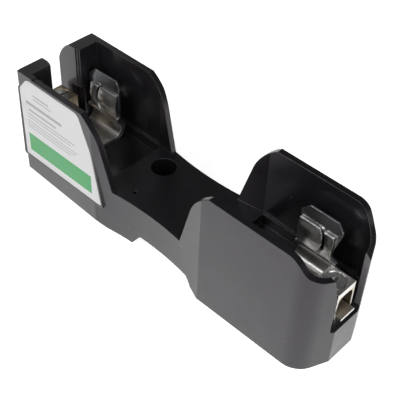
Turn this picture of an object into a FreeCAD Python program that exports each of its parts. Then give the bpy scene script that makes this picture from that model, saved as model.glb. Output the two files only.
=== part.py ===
import FreeCAD, Part
import math
import os
import Sketcher
from FreeCAD import Placement, Rotation, Vector

# One-pole block for a cartridge fuse with knife or ferrule ends, for a 35 mm rail.
# X runs along the block, Y across it, Z up from the panel side. All sizes in mm.

SIZES = (
    ("length", 175.0, "over both end walls"),
    ("width", 42.3, "over the side walls"),
    ("height", 58.4, "over the walls of the cups"),
    ("wall", 2.8, "side walls"),
    ("end_wall", 3.6, "right end wall"),
    ("corner_r", 10.6, "upright corners of the ends"),
    ("facet_in", 3.1, "slanting facet beside the end face, along X"),
    ("facet_up", 6.5, "side wall to where the corner round meets the facet"),
    ("end_flat", 7.4, "half width of the flat end face"),
    ("corner_in", 12.9, "end face to the centre of the corner round"),
    ("shoulder", 7.75, "end face back to the square left shoulder"),
    ("post", 14.3, "left end wall with its solid posts"),
    ("inner_r", 9.3, "corner rounds inside the right cup"),
    ("crease_right", 29.4, "where the waist meets the right cup"),
    ("crease_left", 33.0, "where the waist meets the left cup"),
    ("waist_r", 147.0, "round of the waist in plan"),
    ("bridge_top", 23.4, "floor between the cups"),
    ("mouth_right", 16.7, "foot of the right cup's leaning edge"),
    ("mouth_left", 23.3, "foot of the left cup's leaning edge"),
    ("lean_in", 5.8, "run of the leaning edge"),
    ("lean_up", 21.1, "rise of the leaning edge"),
    ("brow_in", 10.4, "run of the round above the leaning edge"),
    ("brow_r", 24.0, "radius of that round"),
    ("floor_top", 18.2, "floor of the cups and sill of the end slots"),
    ("well_right", 30.0, "step from the bridge down to the right floor"),
    ("well_left", 30.4, "step from the bridge down to the left floor"),
    ("well_half", 17.0, "half width of the cup floors"),
    ("slot_right", 9.5, "half width of the right wire slot"),
    ("slot_r", 1.6, "its lower corners"),
    ("slot_lean", 2.0, "outward lean of its front side"),
    ("slot_lean_low", 38.0, "height where that lean starts"),
    ("slot_lean_top", 49.0, "height where it ends"),
    ("slot_left", 7.4, "half width of the left wire slot"),
    ("slot_step", 0.4, "each of the two steps that widen it inwards"),
    ("slot_step_in", 12.0, "left end face to the first step"),
    ("slot_step_run", 1.2, "first step to the second"),
    ("notch_half", 9.5, "half width of the notch inside the left posts"),
    ("notch_top", 38.0, "top of that notch"),
    ("notch_deep", 6.2, "depth of that notch from the post's inner face"),
    ("rim_run", 13.2, "start of the right rim's slope, from the end face"),
    ("rim_knee", 8.0, "knee of that slope, from the end face"),
    ("rim_knee_front", 6.8, "front rim, fall to the knee"),
    ("rim_end_front", 10.9, "front rim, fall to the end face"),
    ("rim_knee_rear", 7.9, "rear rim, fall to the knee"),
    ("rim_end_rear", 15.2, "rear rim, fall to the end face"),
    ("rim_start_r", 7.0, "round at the start of the slope"),
    ("rim_knee_r", 8.0, "hollow round at the knee"),
    ("brim_fall", 10.4, "round at the top of the left end, down"),
    ("brim_r", 18.0, "radius of that round"),
    ("rim_drop", 0.6, "step down from the left post to the front wall"),
    ("rim_drop_in", 17.2, "left end face to that step"),
    ("ledge_long", 4.2, "ledge behind the front post, along X"),
    ("ledge_deep", 2.4, "ledge, out from the wall"),
    ("ledge_drop", 2.0, "ledge below the top of the wall"),
    ("recess_left", 11.4, "rail channel, left side"),
    ("recess_right", 24.1, "rail channel, right side"),
    ("recess_top", 6.7, "roof of the rail channel"),
    ("recess_knee", 3.3, "height of the channel's upright sides"),
    ("roof_left", 7.5, "roof of the channel, left end"),
    ("roof_right", 21.4, "roof of the channel, right end"),
    ("foot_lead", 4.5, "slanting lead-in of the channel, right"),
    ("foot_nose", 1.2, "slanting lead-in of the channel, left"),
    ("rail_seat", 3.0, "plane that the rail's flanges bear on"),
    ("rail_half", 9.0, "half width of the rail seat"),
    ("hook_half", 5.0, "half width of the fixed hook"),
    ("rail_play", 0.3, "rail flange to the channel's right side"),
    ("flange", 1.0, "thickness of the rail's flange"),
    ("hook_reach", 1.9, "hook under the rail's flange"),
    ("hook_gap", 0.2, "hook to the rail's flange"),
    ("hook_tip", 0.5, "slope on top of the hook"),
    ("rise_near", 1.4, "underside of the left cup, inner end"),
    ("rise_far", 3.8, "underside of the left cup, outer end"),
    ("keel_half", 13.5, "half width of the flat keel under the left cup"),
    ("core_side", 14.4, "inner side of the cores under the right cup"),
    ("core_near", 36.0, "cores, inner end"),
    ("core_end", 11.5, "cores, outer end behind the end face"),
    ("core_top", 14.8, "roof of the cores"),
    ("hole_x", 19.7, "mounting holes, along X from the middle"),
    ("hole_side", 8.2, "mounting holes, across"),
    ("hole_r", 2.6, "clearance hole for a panel screw"),
    ("head_r", 5.8, "recess for its head"),
    ("head_deep", 12.0, "depth of that recess"),
    ("pip_x", 16.7, "small core-pin hole, along X"),
    ("pip_y", 12.1, "small core-pin hole, across"),
    ("pip_r", 0.9, "its radius"),
    ("pip_deep", 5.0, "its depth"),
    ("clip_in", 25.5, "end face to the middle of the clip"),
    ("clip_width", 19.6, "clip along the fuse"),
    ("steel", 1.0, "strip of the reinforcing spring"),
    ("copper", 1.2, "strip of the contact"),
    ("gap", 0.3, "between pieces that only lie side by side"),
    ("cradle_gap", 4.35, "contact cradle to the side wall"),
    ("cradle_turn", 2.8, "contact seat inside the cradle, each side"),
    ("cradle_up", 7.1, "height of the cradle's widest line over the floor"),
    ("ridge_in", 2.6, "fold line above the cradle, inwards from it"),
    ("ridge_up", 11.8, "height of the fold line over the floor"),
    ("finger_in", 4.0, "contact fingers, inwards from the cradle"),
    ("finger_up", 18.3, "height of that place over the floor"),
    ("finger_lean", 0.7, "outward lean of the fingers' upper ends"),
    ("finger_end_up", 24.4, "upper end of the fingers over the floor"),
    ("finger_short", 1.9, "terminal side finger, shorter by"),
    ("swell_half", 4.3, "round swell of the inner finger, half width"),
    ("swell_rise", 1.0, "how far it stands out of the finger"),
    ("swell_in", 4.3, "its middle from the middle of the clip"),
    ("swell_low", 15.2, "its foot over the floor"),
    ("swell_high", 23.6, "its top over the floor"),
    ("bow_lead", 1.3, "reinforcing spring outside the contact cradle"),
    ("bow_in", 1.9, "reinforcing spring behind the fingers, inwards from the cradle"),
    ("bow_up", 25.2, "foot of the flare over the floor"),
    ("flare_out", 1.3, "outward lean of the flare"),
    ("flare_rise", 4.9, "height of the flare"),
    ("flare_top", 13.7, "length of the flare's upper edge"),
    ("flare_cut", 2.9, "height of the flare's cut corners"),
    ("neck", 1.9, "narrowing below the flare, terminal side"),
    ("neck_foot", 1.6, "foot of that narrowing over the fold line"),
    ("bend_r", 2.5, "bends at the foot of the clip"),
    ("fold_r", 1.6, "folds of the clip"),
    ("slit", 2.1, "slit between the fingers"),
    ("slit_at", 1.7, "its middle, towards the terminal"),
    ("slit_r", 14.0, "curve of its sides"),
    ("slit_foot", 13.2, "foot of the slits over the floor"),
    ("finger_inner", 9.2, "inner finger, outer edge"),
    ("finger_outer", 5.7, "terminal side finger, outer edge"),
    ("window_inner", 8.2, "window in the spring, inner side"),
    ("window_outer", 6.4, "window in the spring, terminal side"),
    ("window_foot", 13.6, "window's foot over the floor"),
    ("window_top", 23.8, "window's top over the floor"),
    ("window_r", 1.5, "window's corners"),
    ("tongue_half", 4.1, "terminal tongue, half width"),
    ("tongue_end", 0.3, "tongue behind the end face"),
    ("tongue_up", 3.3, "underside of the tongue over the floor"),
    ("joggle_at", 9.9, "foot of the tongue's step"),
    ("joggle_run", 1.3, "run of that step"),
    ("lug_length", 11.4, "lug along X"),
    ("lug_width", 10.8, "lug across"),
    ("lug_height", 16.8, "lug over the floor"),
    ("lug_in", 2.7, "lug behind the end face"),
    ("wire_half", 4.55, "wire hole, half width"),
    ("wire_foot", 3.0, "bar under the tongue"),
    ("wire_top", 14.0, "roof of the wire hole over the floor"),
    ("wire_r", 3.4, "rounds at its roof"),
    ("lug_screw_r", 4.3, "clamping screw"),
    ("lug_screw_gap", 0.1, "clamping screw in its thread"),
    ("lug_screw_sunk", 0.2, "clamping screw below the lug's top"),
    ("lug_screw_long", 5.1, "clamping screw, length"),
    ("lug_screw_tip", 0.6, "chamfer at its tip"),
    ("driver_wide", 1.3, "screwdriver slot"),
    ("driver_deep", 1.6, "its depth"),
    ("thread_lead", 0.35, "chamfer at the mouth of the thread"),
    ("fix_r", 2.0, "clip screw"),
    ("fix_hole", 2.3, "its hole in the clip"),
    ("fix_head_r", 3.9, "its head"),
    ("fix_head", 2.4, "height of the head"),
    ("fix_long", 10.4, "shank under the head"),
    ("washer", 0.8, "spring washer"),
    ("washer_r", 3.7, "its outer radius"),
    ("washer_split", 0.9, "its split"),
    ("insert_r", 3.6, "threaded insert"),
    ("insert_long", 9.0, "its length"),
    ("fit", 0.05, "thread and insert fits"),
    ("latch_half", 4.6, "rail latch, half width"),
    ("latch_thick", 2.4, "rail latch, strip"),
    ("latch_up", 1.2, "underside of the strip"),
    ("latch_gap", 0.15, "latch to the sides of its groove"),
    ("latch_nose", 3.4, "block at the nose of the latch"),
    ("latch_reach", 2.0, "lip under the rail's flange"),
    ("latch_lip_up", 0.2, "underside of the lip"),
    ("rail_width", 35.0, "standard rail"),
    ("latch_tail", 0.7, "tail behind the end face"),
    ("eye_in", 2.4, "eye in the tail, from the tail's end"),
    ("eye_long", 2.2, "eye along X"),
    ("eye_half", 2.6, "eye, half width"),
    ("spring_x", 44.9, "fixed end of the latch spring"),
    ("spring_long", 14.8, "latch spring as fitted"),
    ("spring_r", 1.5, "its mean radius"),
    ("spring_wire", 0.3, "half diagonal of its square wire"),
    ("spring_pitch", 3.6, "its pitch"),
    ("spring_z", 3.0, "height of its axis"),
    ("spring_room", 0.35, "room round the spring"),
    ("stop", 1.0, "stop that the spring leans on"),
    ("keeper", 0.9, "thickness of the keeper plate"),
    ("keeper_long", 22.0, "keeper plate along X"),
    ("keeper_half", 12.4, "keeper plate, half width"),
    ("keeper_x", 39.0, "middle of the keeper plate"),
    ("keeper_hole", 8.6, "its screws, across"),
    ("keeper_screw_r", 1.1, "its screws"),
    ("keeper_head_r", 2.0, "their flat heads"),
    ("keeper_screw_long", 7.0, "their length"),
    ("label_thick", 0.15, "label and its recess"),
    ("label_foot", 12.8, "lower edge of the label"),
    ("label_left", 7.1, "end face to the label's lower left corner"),
    ("label_left_top", 7.9, "end face to the label's left edge, top"),
    ("label_shoulder", 49.5, "left edge, upper end"),
    ("label_top_left", 13.5, "end face to the upper edge's left end"),
    ("label_top", 56.4, "upper edge"),
    ("label_top_right", 40.8, "upper edge, right end"),
    ("label_bend", 34.0, "bend of the slanting edge, along X"),
    ("label_bend_up", 39.8, "bend of the slanting edge"),
    ("label_right", 28.8, "label's tip"),
    ("label_small_r", 0.8, "lower corners of the label"),
    ("field_edge", 1.2, "flat field round the label"),
    ("field_thick", 2.4, "how far that field reaches into the wall"),
    ("label_r", 3.8, "upper corners of the label"),
)


class Size:
    """A number with the sheet formula that it stands for."""

    def __init__(self, value, text):
        self.value = value
        self.text = text

    def mix(self, other, sign, value):
        other_text = other.text if isinstance(other, Size) else repr(float(other))
        return Size(value, "(" + self.text + " " + sign + " " + other_text + ")")

    def __add__(self, other):
        return self.mix(other, "+", self.value + number(other))

    def __sub__(self, other):
        return self.mix(other, "-", self.value - number(other))

    def __mul__(self, other):
        return self.mix(other, "*", self.value * number(other))

    def __truediv__(self, other):
        return self.mix(other, "/", self.value / number(other))

    def __neg__(self):
        return Size(-self.value, "(0 - " + self.text + ")")


def number(value):
    return value.value if isinstance(value, Size) else float(value)


class Names:
    """The sizes of the sheet by name."""


doc = FreeCAD.newDocument("fuse_block")
sheet = doc.addObject("Spreadsheet::Sheet", "Sizes")
s = Names()
for row, (alias, value, note) in enumerate(SIZES, start=1):
    sheet.set("A" + str(row), alias)
    sheet.set("B" + str(row), str(value))
    sheet.setAlias("B" + str(row), alias)
    sheet.set("C" + str(row), note)
    setattr(s, alias, Size(value, "Sizes." + alias))
doc.recompute()


def tie(thing, prop, size):
    """Drive one property by its formula."""
    if isinstance(size, Size):
        thing.setExpression(prop, size.text)


def new_body(name, x=None, turned=False):
    body = doc.addObject("PartDesign::Body", name)
    body.Label = name
    if turned:
        body.Placement = Placement(Vector(0, 0, 0), Rotation(Vector(0, 0, 1), 180))
    if x is not None:
        tie(body, "Placement.Base.x", x)
    return body


def plane_of(body, role):
    return [item for item in body.Origin.OriginFeatures if item.Role == role][0]


def pin_point(sketch, geo, spot, across, up):
    """Tie one point of a sketch to the sheet, from the sketch's origin."""
    for kind, size in (("DistanceX", across), ("DistanceY", up)):
        index = sketch.addConstraint(Sketcher.Constraint(kind, -1, 1, geo, spot, number(size)))
        if isinstance(size, Size):
            sketch.setExpression("Constraints[" + str(index) + "]", size.text)


def tie_radius(sketch, geo, radius):
    index = sketch.addConstraint(Sketcher.Constraint("Radius", geo, number(radius)))
    if isinstance(radius, Size):
        sketch.setExpression("Constraints[" + str(index) + "]", radius.text)


def arc_between(start, end, radius, left):
    """Arc from start to end; left puts its centre to the left of the way there."""
    chord = end - start
    middle = (start + end) * 0.5
    rise = math.sqrt(max(radius ** 2 - (chord.Length / 2) ** 2, 0.0))
    side = Vector(-chord.y, chord.x, 0).normalize()
    centre = middle + side * (rise if left else -rise)
    first, last = (start, end) if left else (end, start)
    begin = math.atan2(first.y - centre.y, first.x - centre.x)
    stop = math.atan2(last.y - centre.y, last.x - centre.x)
    circle = Part.Circle(centre, Vector(0, 0, 1), radius)
    return Part.ArcOfCircle(circle, begin, stop if stop > begin else stop + 2 * math.pi)


def corner_of(ring, place):
    corner = ring[place % len(ring)]
    radius = corner[2] if len(corner) > 2 else None
    return Vector(number(corner[0]), number(corner[1]), 0), radius


def trim_at(ring, place, closed):
    """How far a corner's round reaches along its two lines."""
    point, radius = corner_of(ring, place)
    if radius is None or (not closed and place in (0, len(ring) - 1)):
        return 0.0
    before = (point - corner_of(ring, place - 1)[0]).normalize()
    after = (corner_of(ring, place + 1)[0] - point).normalize()
    turn = math.acos(max(-1.0, min(1.0, before.dot(after))))
    return number(radius) * math.tan(turn / 2)


def draw_ring(sketch, ring, arcs, closed=True):
    """Corners (across, up) or (across, up, round); arcs maps an edge to (radius, left)."""
    count = len(ring)
    ends = []
    for place in range(count if closed else count - 1):
        start = corner_of(ring, place)[0]
        end = corner_of(ring, place + 1)[0]
        if place in arcs:
            radius, left = arcs[place]
            geo = sketch.addGeometry(arc_between(start, end, number(radius), left))
            tie_radius(sketch, geo, radius)
            ends.append((geo, 1, 2) if left else (geo, 2, 1))
            continue
        way = (end - start).normalize()
        first = start + way * trim_at(ring, place, closed)
        last = end - way * trim_at(ring, (place + 1) % count, closed)
        ends.append((sketch.addGeometry(Part.LineSegment(first, last)), 1, 2))
    for place in range(count):
        after = ends[place] if place < len(ends) else None
        before = ends[place - 1] if closed or place > 0 else None
        point, radius = corner_of(ring, place)
        across, up = ring[place][0], ring[place][1]
        if before is None:
            pin_point(sketch, after[0], after[1], across, up)
        elif after is None:
            pin_point(sketch, before[0], before[2], across, up)
        elif radius is None:
            sketch.addConstraint(Sketcher.Constraint("Coincident", before[0], before[2], after[0], after[1]))
            pin_point(sketch, after[0], after[1], across, up)
        else:
            round_corner(sketch, ring, place, before, after, closed)


def round_corner(sketch, ring, place, before, after, closed):
    """Join two lines by a tangent arc and keep their corner where the sheet puts it."""
    point, radius = corner_of(ring, place)
    reach = trim_at(ring, place, closed)
    way_in = (point - corner_of(ring, place - 1)[0]).normalize()
    way_out = (corner_of(ring, place + 1)[0] - point).normalize()
    left = way_in.x * way_out.y - way_in.y * way_out.x > 0
    arc = arc_between(point - way_in * reach, point + way_out * reach, number(radius), left)
    geo = sketch.addGeometry(arc)
    first, last = (1, 2) if left else (2, 1)
    mark = sketch.addGeometry(Part.Point(point), True)
    sketch.addConstraint(Sketcher.Constraint("Tangent", before[0], before[2], geo, first))
    sketch.addConstraint(Sketcher.Constraint("Tangent", geo, last, after[0], after[1]))
    sketch.addConstraint(Sketcher.Constraint("PointOnObject", mark, 1, before[0]))
    sketch.addConstraint(Sketcher.Constraint("PointOnObject", mark, 1, after[0]))
    pin_point(sketch, mark, 1, ring[place][0], ring[place][1])
    tie_radius(sketch, geo, radius)


def new_sketch(body, name, role, lift=None):
    sketch = body.newObject("Sketcher::SketchObject", name)
    sketch.AttachmentSupport = [(plane_of(body, role), "")]
    sketch.MapMode = "FlatFace"
    if lift is not None:
        sketch.AttachmentOffset = Placement(Vector(0, 0, number(lift)), Rotation())
        tie(sketch, "AttachmentOffset.Base.z", lift)
    return sketch


def outline(body, name, role, rings, lift=None, arcs=None, closed=True):
    sketch = new_sketch(body, name, role, lift)
    for ring in rings:
        draw_ring(sketch, ring, arcs or {}, closed)
    return sketch


def circles(body, name, role, rounds, lift=None):
    """Circles given as (across, up, radius)."""
    sketch = new_sketch(body, name, role, lift)
    for across, up, radius in rounds:
        centre = Vector(number(across), number(up), 0)
        geo = sketch.addGeometry(Part.Circle(centre, Vector(0, 0, 1), number(radius)))
        pin_point(sketch, geo, 3, across, up)
        tie_radius(sketch, geo, radius)
    return sketch


def box_ring(left, right, low, high, radius=None):
    corners = ((left, low), (right, low), (right, high), (left, high))
    return [corner if radius is None else corner + (radius,) for corner in corners]


def pad(body, name, sketch, long, both=False, back=False):
    feature = body.newObject("PartDesign::Pad", name)
    feature.Profile = sketch
    feature.SideType = "Symmetric" if both else "One side"
    feature.Reversed = back
    feature.Length = number(long)
    tie(feature, "Length", long)
    doc.recompute()
    return feature


def pocket(body, name, sketch, deep=None, back=False):
    """A cut to a depth, or right through both ways when no depth is given."""
    feature = body.newObject("PartDesign::Pocket", name)
    feature.Profile = sketch
    feature.Reversed = back
    if deep is None:
        feature.SideType = "Symmetric"
        feature.Type = "ThroughAll"
    else:
        feature.Length = number(deep)
        tie(feature, "Length", deep)
    doc.recompute()
    return feature


def mirror(body, name, feature):
    """The same feature on the other side of the XZ plane."""
    other = body.newObject("PartDesign::Mirrored", name)
    other.Originals = [feature]
    other.MirrorPlane = (plane_of(body, "XZ_Plane"), [""])
    body.Tip = other
    doc.recompute()
    return other


def strip(body, name, path, half_width, thick):
    """A strip bent along a path in the YZ plane, and the same on the other side."""
    spine = outline(body, name + "_path", "YZ_Plane", [path], closed=False)
    start = path[0][1]
    ring = box_ring(-half_width, half_width, start - thick / 2, start + thick / 2)
    section = outline(body, name + "_section", "XZ_Plane", [ring])
    doc.recompute()
    pipe = body.newObject("PartDesign::AdditivePipe", name)
    pipe.Profile = section
    pipe.Spine = (spine, ["Edge" + str(edge + 1) for edge in range(len(spine.Shape.Edges))])
    doc.recompute()
    return mirror(body, name + "_other", pipe)


half = s.length / 2
side = s.width / 2
inner = side - s.wall
facet_side = side - s.facet_up
clip_x = half - s.clip_in
cradle_out = inner - s.cradle_gap
lug_x = half - s.lug_in - s.lug_length / 2
rail_right = s.recess_right - s.rail_play
rail_left = s.rail_width - rail_right
top = s.height
zero = s.gap - s.gap


def plan_outer():
    """Outline in plan: square left shoulders, rounded ends, a waist between."""
    arc_x = half - s.corner_in
    arc_y = side - s.corner_r
    ring = [
        (s.crease_right, -side),
        (arc_x, -side),
        (half - s.facet_in, -facet_side),
        (half, -s.end_flat),
        (half, s.end_flat),
        (half - s.facet_in, facet_side),
        (arc_x, side),
        (s.crease_right, side),
        (-s.crease_left, side),
        (-half + s.shoulder, side),
        (-half + s.shoulder, facet_side + s.corner_r / 2 - 0.2),
        (-half + s.facet_in, facet_side),
        (-half, s.end_flat),
        (-half, -s.end_flat),
        (-half + s.facet_in, -facet_side),
        (-half + s.shoulder, -facet_side - s.corner_r / 2 + 0.2),
        (-half + s.shoulder, -side),
        (-s.crease_left, -side),
    ]
    arcs = {
        1: (s.corner_r, True),
        5: (s.corner_r, True),
        7: (s.waist_r, False),
        10: (s.corner_r, True),
        14: (s.corner_r, True),
        17: (s.waist_r, False),
    }
    return ring, arcs


def plan_inner():
    """Outline of the room inside both cups and over the bridge."""
    end = half - s.end_wall
    back = -half + s.post
    ring = [
        (s.crease_right, -inner),
        (end, -inner, s.inner_r),
        (end, inner, s.inner_r),
        (s.crease_right, inner),
        (-s.crease_left, inner),
        (back, inner),
        (back, -inner),
        (-s.crease_left, -inner),
    ]
    return ring, {3: (s.waist_r + s.wall, False), 7: (s.waist_r + s.wall, False)}


def label_ring(grow):
    """Label outline in the XZ plane, grown by a margin."""
    foot = s.label_foot - grow
    bend = -s.label_bend + grow
    return [
        (-half + s.label_left - grow, foot, s.label_small_r),
        (-s.label_right + grow, foot, s.label_small_r),
        (bend, s.label_bend_up),
        (-s.label_top_right + grow, s.label_top + grow, s.label_r),
        (-half + s.label_top_left, s.label_top + grow, s.label_r),
        (-half + s.label_left_top - grow, s.label_shoulder, s.label_r),
    ]


# Base: outer form
base = new_body("base")
ring, arcs = plan_outer()
pad(base, "block", outline(base, "block_plan", "XY_Plane", [ring], arcs=arcs), top)
ring, arcs = plan_inner()
room = outline(base, "room_plan", "XY_Plane", [ring], lift=top, arcs=arcs)
pocket(base, "room", room, top - s.bridge_top)

# Base: leaning edges of the cups
over = top + 2
lean_top = s.bridge_top + s.lean_up
mouth = [
    (-s.mouth_left, s.bridge_top),
    (s.mouth_right, s.bridge_top),
    (s.mouth_right + s.lean_in, lean_top),
    (s.mouth_right + s.lean_in + s.brow_in, top),
    (s.mouth_right + s.lean_in + s.brow_in, over),
    (-s.mouth_left - s.lean_in - s.brow_in, over),
    (-s.mouth_left - s.lean_in - s.brow_in, top),
    (-s.mouth_left - s.lean_in, lean_top),
]
mouth_arcs = {2: (s.brow_r, False), 6: (s.brow_r, False)}
pocket(base, "mouth", outline(base, "mouth_side", "XZ_Plane", [mouth], arcs=mouth_arcs))

# Base: sloping rim of the right end, lower at the rear, and round top of the left end
for name, knee_fall, end_fall in (
    ("front", s.rim_knee_front, s.rim_end_front),
    ("rear", s.rim_knee_rear, s.rim_end_rear),
):
    rim = [
        (half - s.rim_run - s.rim_start_r, top),
        (half - s.rim_run, top, s.rim_start_r),
        (half - s.rim_knee, top - knee_fall, s.rim_knee_r),
        (half, top - end_fall),
        (half + 2, top - end_fall),
        (half + 2, over),
        (half - s.rim_run - s.rim_start_r, over),
    ]
    rim_side = outline(base, "rim_" + name + "_side", "XZ_Plane", [rim])
    pocket(base, "rim_" + name, rim_side, side + 1, back=name == "front")
brim = [
    (-half + s.shoulder, top),
    (-half, top - s.brim_fall),
    (-half - 2, top - s.brim_fall),
    (-half - 2, over),
    (-half + s.shoulder, over),
]
pocket(base, "brim", outline(base, "brim_side", "XZ_Plane", [brim], arcs={0: (s.brim_r, True)}))

# Base: floors, wire slots, the notch in the left posts and the step in the front rim
wells = [
    [
        (s.well_right, -s.well_half),
        (half - s.corner_in, -s.well_half),
        (half - s.end_wall, -s.slot_right),
        (half - s.end_wall, s.slot_right),
        (half - s.corner_in, s.well_half),
        (s.well_right, s.well_half),
    ],
    box_ring(-half + s.post, -s.well_left, -s.well_half, s.well_half, s.fold_r),
]
pocket(base, "wells", outline(base, "wells_plan", "XY_Plane", wells, lift=top), top - s.floor_top)
slot = [
    (-s.slot_right, s.floor_top, s.slot_r),
    (s.slot_right, s.floor_top, s.slot_r),
    (s.slot_right, over),
    (-s.slot_right - s.slot_lean, over),
    (-s.slot_right - s.slot_lean, s.slot_lean_top),
    (-s.slot_right, s.slot_lean_low),
]
slot_end = outline(base, "slot_right_end", "YZ_Plane", [slot], lift=half + 2)
pocket(base, "slot_right", slot_end, s.end_wall + 2)
narrow = s.slot_left
middle = s.slot_left + s.slot_step
wide = s.slot_left + s.slot_step * 2
first = -half + s.slot_step_in
second = first + s.slot_step_run
slot = [(-half - 2, -narrow), (first, -narrow), (first, -middle), (second, -middle), (second, -wide)]
slot += [(-half + s.post + 1, -wide), (-half + s.post + 1, wide)]
slot += [(second, wide), (second, middle), (first, middle), (first, narrow), (-half - 2, narrow)]
slot_plan = outline(base, "slot_left_plan", "XY_Plane", [slot], lift=top)
pocket(base, "slot_left", slot_plan, top - s.floor_top)
notch_end = -half + s.post
notch = box_ring(notch_end - s.notch_deep, notch_end + 1, -s.notch_half, s.notch_half)
notch_plan = outline(base, "notch_plan", "XY_Plane", [notch], lift=s.notch_top)
pocket(base, "notch", notch_plan, s.notch_top - s.floor_top)
step = box_ring(-half + s.rim_drop_in, -s.crease_left + 5, -side - 1, -inner + 1)
pocket(base, "rim_step", outline(base, "rim_step_plan", "XY_Plane", [step], lift=top), s.rim_drop)
ledge = box_ring(notch_end - 1, notch_end + s.ledge_long, -inner - 1, -inner + s.ledge_deep)
ledge_plan = outline(base, "ledge_plan", "XY_Plane", [ledge], lift=s.floor_top - 1)
pad(base, "ledge", ledge_plan, top - s.rim_drop - s.ledge_drop - s.floor_top + 1)

# Base: rail channel with its seat and fixed hook, and the rising underside
low = -s.rail_seat
channel = [
    (-s.recess_left - s.foot_nose, low),
    (-s.recess_left - s.foot_nose, zero),
    (-s.recess_left, s.rail_seat - s.foot_nose),
    (-s.recess_left, s.recess_knee),
    (-s.roof_left, s.recess_top),
    (s.roof_right, s.recess_top),
    (s.recess_right, s.recess_knee),
    (s.recess_right, s.rail_seat - s.gap),
    (s.recess_right + s.foot_lead, zero),
    (s.recess_right + s.foot_lead, low),
]
pocket(base, "channel", outline(base, "channel_side", "XZ_Plane", [channel]))
seat_left = -rail_left + s.latch_reach + s.gap
seat_right = rail_right - s.hook_reach - s.gap
seat = box_ring(seat_left, seat_right, s.rail_seat, s.recess_top + 1)
pad(base, "rail_seat_block", outline(base, "seat_side", "XZ_Plane", [seat]), s.rail_half * 2, both=True)
hook_top = s.rail_seat - s.flange - s.hook_gap
hook = [
    (rail_right - s.hook_reach, zero),
    (s.recess_right + s.foot_lead + 1, zero),
    (s.recess_right + s.foot_lead + 1, s.rail_seat + 1),
    (s.recess_right, s.rail_seat + 1),
    (s.recess_right, hook_top),
    (rail_right - s.hook_reach, hook_top - s.hook_tip),
]
pad(base, "hook", outline(base, "hook_side", "XZ_Plane", [hook]), s.hook_half * 2, both=True)
rise = [
    (-s.crease_left + 6, low),
    (-s.crease_left + 6, zero),
    (-s.crease_left, s.rise_near),
    (-half + s.shoulder - 1, s.rise_far),
    (-half - 2, s.rise_far),
    (-half - 2, low),
]
for sign, name in ((1, "front"), (-1, "rear")):
    lift = s.keel_half if sign == 1 else -s.keel_half
    rise_side = outline(base, "rise_" + name + "_side", "XZ_Plane", [rise], lift=lift)
    pocket(base, "rise_" + name, rise_side, side, back=sign == 1)

# Base: cores under the right cup and beside the keel
core_far = half - s.core_end
cores = [
    box_ring(s.core_near, core_far, s.core_side, inner),
    box_ring(s.core_near, core_far, -inner, -s.core_side),
    box_ring(-core_far + 2, -s.core_near - 8, s.core_side, inner),
    box_ring(-core_far + 2, -s.core_near - 8, -inner, -s.core_side),
]
pocket(base, "cores", outline(base, "cores_plan", "XY_Plane", cores), s.core_top, back=True)

# Base: mounting holes, core-pin hole, insert holes
holes = ((-s.hole_x, s.hole_side), (s.hole_x, -s.hole_side))
heads = circles(base, "heads_plan", "XY_Plane", [h + (s.head_r,) for h in holes], lift=s.bridge_top)
pocket(base, "heads", heads, s.head_deep)
shanks = circles(base, "shanks_plan", "XY_Plane", [h + (s.hole_r,) for h in holes], lift=s.bridge_top)
pocket(base, "shanks", shanks, s.bridge_top + 1)
pip = circles(base, "pip_plan", "XY_Plane", [(-s.pip_x, -s.pip_y, s.pip_r)], lift=s.bridge_top)
pocket(base, "pip", pip, s.pip_deep)
bores = [(clip_x, zero, s.insert_r + s.fit), (-clip_x, zero, s.insert_r + s.fit)]
pocket(base, "bores", circles(base, "bores_plan", "XY_Plane", bores, lift=s.floor_top), s.insert_long + 1.2)

# Base: groove of the latch, room and stop for its spring, bed of the keeper plate
groove_half = s.latch_half + s.latch_gap
groove_top = s.latch_up + s.latch_thick + s.gap
groove = box_ring(-half - 2, -s.recess_left + 1, -groove_half, groove_half)
pocket(base, "groove", outline(base, "groove_plan", "XY_Plane", [groove]), groove_top, back=True)
spring_half = s.spring_r + s.spring_wire + s.spring_room
spring_end = -s.spring_x + s.spring_long + s.gap / 3
well = box_ring(-s.spring_x - s.stop, spring_end, -spring_half, spring_half)
well_top = s.spring_z + spring_half
pocket(base, "spring_room", outline(base, "spring_plan", "XY_Plane", [well]), well_top, back=True)
stop_low = s.keeper + s.gap
stop = box_ring(-s.spring_x - s.stop, -s.spring_x - s.gap / 3, -spring_half + 0.2, spring_half - 0.2)
stop_plan = outline(base, "stop_plan", "XY_Plane", [stop], lift=stop_low)
pad(base, "spring_stop", stop_plan, well_top - stop_low + 0.5)
bed = box_ring(
    -s.keeper_x - s.keeper_long / 2 - s.latch_gap,
    -s.keeper_x + s.keeper_long / 2 + s.latch_gap,
    -s.keeper_half - s.latch_gap,
    s.keeper_half + s.latch_gap,
)
pocket(base, "bed", outline(base, "bed_plan", "XY_Plane", [bed]), s.keeper, back=True)
pilots = [(-s.keeper_x, s.keeper_hole, s.keeper_screw_r + s.fit)]
pilots.append((-s.keeper_x, -s.keeper_hole, s.keeper_screw_r + s.fit))
pilot_plan = circles(base, "pilots_plan", "XY_Plane", pilots)
pocket(base, "pilots", pilot_plan, s.keeper_screw_long + 0.5, back=True)

# Base: flat field of the label, over the start of the waist, and the label's recess
field_lift = side - s.field_thick
field = outline(base, "field_side", "XZ_Plane", [label_ring(s.field_edge)], lift=field_lift)
pad(base, "label_field", field, s.field_thick)
recess = outline(base, "label_side", "XZ_Plane", [label_ring(s.gap)], lift=side)
pocket(base, "label_recess", recess, s.label_thick)

label = new_body("label")
face = outline(label, "label_outline", "XZ_Plane", [label_ring(zero)], lift=side - s.label_thick)
pad(label, "label_sheet", face, s.label_thick)


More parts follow.
